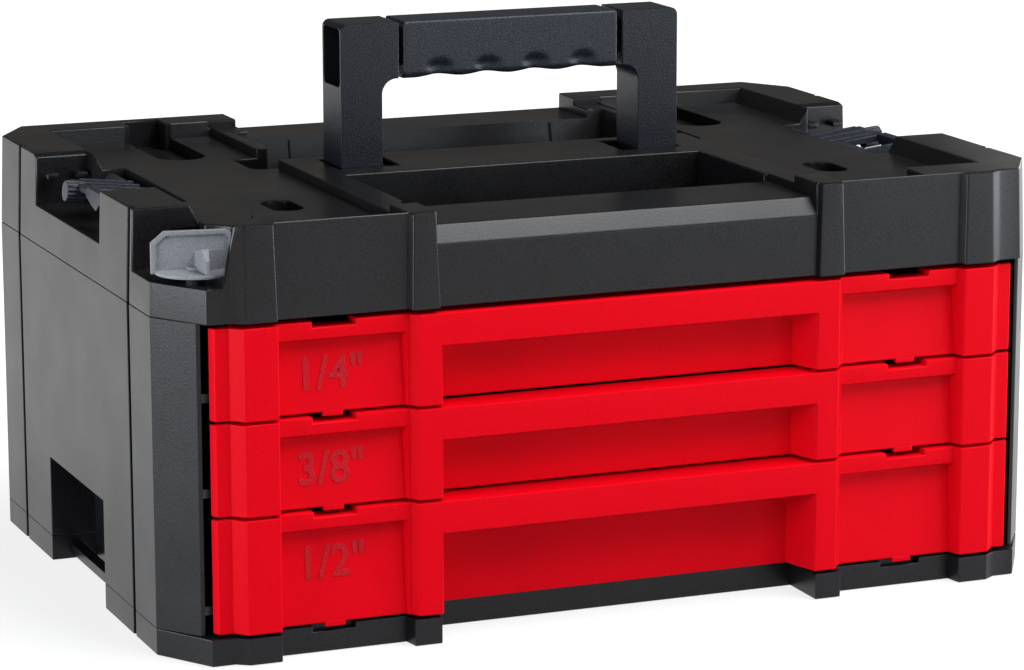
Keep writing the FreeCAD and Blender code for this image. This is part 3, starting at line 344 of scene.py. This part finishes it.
# ---- Tubs and socket trays
# The tubs are smooth black mouldings, open at the top, with a runner rib along each side. A grey
# moulded tray with rows of socket troughs lies loose in each.
tub_black = moulded("tub_black", (0.010, 0.010, 0.011), 0.42, grain=0.3)
tray_grey = moulded("tray_grey", (0.050, 0.051, 0.055), 0.48, grain=0.5)
for level in ("bottom", "middle", "top"):
    dress(nodes[level + "_drawer_tub"], tub_black)
    dress(nodes[level + "_socket_tray"], tray_grey)


# ---- Screws, pins and the lock rod
# Zinc-plated steel. The screws are cold-headed and hold the mouldings together, and the hinge pins
# and the lock rod are turned. The rod has a tongue for each drawer.
def plated(name, colour, roughness):
    material = moulded(name, colour, roughness, grain=0.15, grain_size=0.0005,
                       shade_change=0.12, smudge=0.006, specular=0.5)
    material.node_tree.nodes["Principled BSDF"].inputs["Metallic"].default_value = 1.0
    return material


zinc = plated("zinc", (0.55, 0.56, 0.58), 0.32)
blackened = plated("blackened", (0.06, 0.06, 0.065), 0.4)
for node in nodes:
    if node.endswith("_screws"):
        dress(nodes[node], zinc)
    if node.startswith("latch_pin") or node == "lock_rod":
        dress(nodes[node], blackened)


# ---- Top cover
# One large black moulding with two decks, a ridge, a tray and a trough, in the same grain as the
# case. Six screws come up into it from the side shells.
# The cover's grain carries a faint painted glint, and its rounded edges are painted pale grey, a
# painted highlight.
cover_black = moulded("cover_black", (0.0040, 0.0037, 0.0038), 0.31, grain=0.25,
                      grain_size=0.0008, shade_change=0.7, specular=0.25, painted_glint=0.005)
cover_edge_highlight = moulded("cover_edge_highlight", (0.42, 0.43, 0.45), 0.30, grain=0.3, shade_change=0.6,
                     smudge=0.015, specular=0.5)
stand_in("top_cover", "case", "cover_black", 0.0008, cover_black, cover_edge_highlight)


# ---- Carrying handle
# The frame and the grip are separate mouldings. The grip closes round the bar, with soft lower
# edges, a shallow wave for each finger and a dent where the finger tips curl round its front.
# The frame and the grip carry a faint painted glint on their grain, and the frame's rounded edges
# are painted grey-blue, a painted highlight.
handle_black = moulded("handle_black", (0.0050, 0.0062, 0.0095), 0.31, grain=0.6,
                       grain_size=0.0008, shade_change=0.7, specular=0.25, painted_glint=0.004)
grip_black = moulded("grip_black", (0.0105, 0.0130, 0.0175), 0.40, grain=0.7,
                     grain_size=0.0008, shade_change=0.7, specular=0.28, painted_glint=0.006)
handle_edge_highlight = moulded("handle_edge_highlight", (0.26, 0.28, 0.32), 0.30, grain=0.3, shade_change=0.5,
                      smudge=0.015)
stand_in("handle_frame", "handle", "handle_black", 0.0006, handle_black, handle_edge_highlight)
dress(nodes["handle_stops"], handle_black)

grip_low, grip_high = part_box("handle_grip")
grip_low = Vector(grip_low)
grip_high = Vector(grip_high)
grip_middle = (grip_low + grip_high) / 2
grip_round = 0.0035
grip_top_round = 0.0012
grip_end_round = 0.0010
grip_bands = 24
grip_rings = 180
corner_steps = 8
finger_places = (-0.0375, -0.0125, 0.0125, 0.0375)
finger_pitch = 0.025
finger_wave = 0.0012
dent_width = 0.0052
dent_height = 0.0034
dent_rise = 0.0045
dent_depth = 0.0024


def grip_section():
    """The grip cut across: corners of two radii and a front divided into bands, as (y, z)."""
    corners = (
        (grip_low.y + grip_round, grip_low.z + grip_round, grip_round, 180.0),
        (grip_high.y - grip_round, grip_low.z + grip_round, grip_round, 270.0),
        (grip_high.y - grip_top_round, grip_high.z - grip_top_round, grip_top_round, 0.0),
        (grip_low.y + grip_top_round, grip_high.z - grip_top_round, grip_top_round, 90.0),
    )
    points = []
    for y, z, radius, start in corners:
        for step in range(corner_steps + 1):
            turn = radians(start + 90.0 * step / corner_steps)
            points.append((y + radius * cos(turn), z + radius * sin(turn)))
    top = grip_high.z - grip_top_round
    bottom = grip_low.z + grip_round
    for band in range(1, grip_bands):
        points.append((grip_low.y, top + (bottom - top) * band / grip_bands))
    return points


def gripped(x, y, z):
    """Moves a point of the plain grip into its finger wave and its finger dent."""
    for place in finger_places:
        along = (x - place) / finger_pitch
        if abs(along) < 0.5 and z < grip_middle.z:
            under = 1.0 - min(1.0, max(0.0, (z - grip_low.z) / (2.0 * grip_round)))
            z += finger_wave * under * cos(pi * along) ** 2
        across = ((x - place) / dent_width) ** 2
        if y < grip_middle.y:
            upward = ((z - grip_low.z - dent_rise) / dent_height) ** 2
            y += dent_depth * exp(-0.9 * (across + upward) ** 1.5)
    return Vector((x, y, z))


grip_shape = bmesh.new()
rings = []
for station in range(grip_rings + 1):
    x = grip_low.x + (grip_high.x - grip_low.x) * station / grip_rings
    end = grip_end_round - min(x - grip_low.x, grip_high.x - x)
    inset = 0.0
    if end > 0.0:
        inset = grip_end_round - sqrt(grip_end_round ** 2 - end ** 2)
    share = 1.0 - inset / (grip_middle.z - grip_low.z)
    ring = []
    for y, z in grip_section():
        inner_y = grip_middle.y + (y - grip_middle.y) * share
        inner_z = grip_middle.z + (z - grip_middle.z) * share
        ring.append(grip_shape.verts.new(gripped(x, inner_y, inner_z)))
    rings.append(ring)
for before, after in zip(rings, rings[1:]):
    for index in range(len(before)):
        grip_shape.faces.new((before[index - 1], before[index], after[index], after[index - 1]))
grip_shape.faces.new(rings[0])
grip_shape.faces.new(rings[-1])
bmesh.ops.recalc_face_normals(grip_shape, faces=grip_shape.faces)
for face in grip_shape.faces:
    face.smooth = len(face.verts) == 4
grip_mesh = bpy.data.meshes.new("grip")
grip_shape.to_mesh(grip_mesh)
grip_shape.free()
grip = bpy.data.objects.new("grip", grip_mesh)
scene.collection.objects.link(grip)
dress(grip, grip_black)
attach(grip, "handle")
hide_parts("handle_grip")


# ---- Side latches
# Black mouldings, one in a pocket at each side of the cover. Each turns on a steel pin and has
# ridges for the thumb.
latch_black = moulded("latch_black", (0.014, 0.017, 0.024), 0.4, shade_change=0.5)
# The rounded edges of the latches are painted pale blue-grey, a painted highlight.
latch_edge_highlight = moulded("latch_edge_highlight", (0.17, 0.20, 0.25), 0.32, grain=0.3, shade_change=0.4,
                     smudge=0.01)
for side in ("left", "right"):
    stand_in("latch_" + side, "latch_" + side, "latch_black", 0.0005, latch_black, latch_edge_highlight)


# ---- Drawer lock lever
# Mid-grey moulding in the left front corner, pressed on the end of the lock rod. It turns the rod
# so that its tongues stand in front of the drawers' lugs.
lever_grey = moulded("lever_grey", (0.21, 0.22, 0.24), 0.45, shade_change=0.2)
# The rounded edges of the lever are painted paler grey, a painted highlight.
lever_edge_highlight = moulded("lever_edge_highlight", (0.50, 0.52, 0.54), 0.38, grain=0.3, shade_change=0.1)
stand_in("lock_lever", "drawer_lock", "lever_grey", 0.0004, lever_grey, lever_edge_highlight)


# ---- Floor and light
# A wide white table under soft boxes: a large one above and in front, strips at both sides and
# low ones behind. The white is there for the camera and for what the box mirrors, and the part
# of it that the lamps light keeps the shadow.
table_reach = 40.0
table_level = -0.0005
table_grey = 0.20
glow_near = 0.80
glow_far = 1.0
glow_start = 0.25
glow_end = 0.55
floor_corners = []
for across, along in ((-1, -1), (1, -1), (1, 1), (-1, 1)):
    floor_corners.append((across * table_reach, along * table_reach, table_level))
floor_mesh = bpy.data.meshes.new("floor")
floor_mesh.from_pydata(floor_corners, [], [(0, 1, 2, 3)])
floor = bpy.data.objects.new("floor", floor_mesh)
scene.collection.objects.link(floor)
floor_white = bpy.data.materials.new("floor_white")
floor_white.use_nodes = True
floor_tree = floor_white.node_tree
floor_shader = floor_tree.nodes["Principled BSDF"]
floor_shader.inputs["Base Color"].default_value = (table_grey, table_grey, table_grey, 1.0)
floor_shader.inputs["Roughness"].default_value = 0.9
floor_glow = floor_tree.nodes.new("ShaderNodeEmission")
floor_glow.inputs["Color"].default_value = (1.0, 1.0, 1.0, 1.0)
floor_place = floor_tree.nodes.new("ShaderNodeTexCoord")
floor_distance = floor_tree.nodes.new("ShaderNodeVectorMath")
floor_distance.operation = "LENGTH"
link(floor_tree, floor_place, "Object", floor_distance, 0)
floor_fade = floor_tree.nodes.new("ShaderNodeMapRange")
floor_fade.inputs["From Min"].default_value = glow_start
floor_fade.inputs["From Max"].default_value = glow_end
floor_fade.inputs["To Min"].default_value = glow_near
floor_fade.inputs["To Max"].default_value = glow_far
link(floor_tree, floor_distance, "Value", floor_fade, "Value")
floor_rays = floor_tree.nodes.new("ShaderNodeLightPath")
floor_mirrored = floor_tree.nodes.new("ShaderNodeMath")
floor_mirrored.operation = "MAXIMUM"
link(floor_tree, floor_rays, "Is Glossy Ray", floor_mirrored, 0)
link(floor_tree, floor_rays, "Is Transmission Ray", floor_mirrored, 1)
floor_seen = floor_tree.nodes.new("ShaderNodeMath")
floor_seen.operation = "MAXIMUM"
link(floor_tree, floor_rays, "Is Camera Ray", floor_seen, 0)
link(floor_tree, floor_mirrored, "Value", floor_seen, 1)
floor_share = floor_tree.nodes.new("ShaderNodeMath")
floor_share.operation = "MULTIPLY"
link(floor_tree, floor_fade, "Result", floor_share, 0)
link(floor_tree, floor_seen, "Value", floor_share, 1)
link(floor_tree, floor_share, "Value", floor_glow, "Strength")
floor_sum = floor_tree.nodes.new("ShaderNodeAddShader")
link(floor_tree, floor_shader, "BSDF", floor_sum, 0)
link(floor_tree, floor_glow, "Emission", floor_sum, 1)
link(floor_tree, floor_sum, "Shader", floor_tree.nodes["Material Output"], "Surface")
floor_mesh.materials.append(floor_white)


middle = (0.0, 0.0, 0.12)


def soft_box(name, place, width, height, watts, colour=(1.0, 1.0, 1.0)):
    """A rectangular area lamp that points at the middle of the box."""
    data = bpy.data.lights.new(name, "AREA")
    data.shape = "RECTANGLE"
    data.size = width
    data.size_y = height
    data.energy = watts
    data.color = colour
    lamp = bpy.data.objects.new(name, data)
    lamp.location = place
    way = Vector(middle) - Vector(place)
    lamp.rotation_euler = way.to_track_quat("-Z", "Y").to_euler()
    scene.collection.objects.link(lamp)


cool = (0.86, 0.92, 1.0)
warm = (1.0, 0.92, 0.82)
soft_box("key box", (0.75, -1.1, 1.75), 1.35, 1.1, 37.0, (0.95, 0.97, 1.0))
soft_box("top box", (0.6, -0.35, 2.0), 1.1, 1.1, 28.0)
soft_box("left box", (-1.5, -1.6, 1.5), 1.0, 1.0, 11.0)
soft_box("front box", (0.8, -2.0, 0.56), 0.8, 0.3, 5.0, cool)
soft_box("left strip", (-1.7, -0.32, 0.24), 0.9, 0.45, 24.0, cool)
soft_box("right strip", (1.8, -0.6, 0.14), 0.9, 0.4, 18.0, cool)
soft_box("low box", (1.3, -1.5, 0.16), 0.5, 0.4, 5.0, cool)
soft_box("rear box", (0.9, 2.1, 0.55), 1.6, 0.5, 0.3, warm)
soft_box("back right box", (1.7, 1.7, 0.14), 0.9, 0.25, 7.0)
soft_box("back left box", (-2.1, 1.2, 0.14), 0.9, 0.25, 9.0)

world = bpy.data.worlds.new("studio")
scene.world = world
world.use_nodes = True
studio = world.node_tree.nodes["Background"]
studio.inputs["Color"].default_value = (0.05, 0.05, 0.05, 1.0)
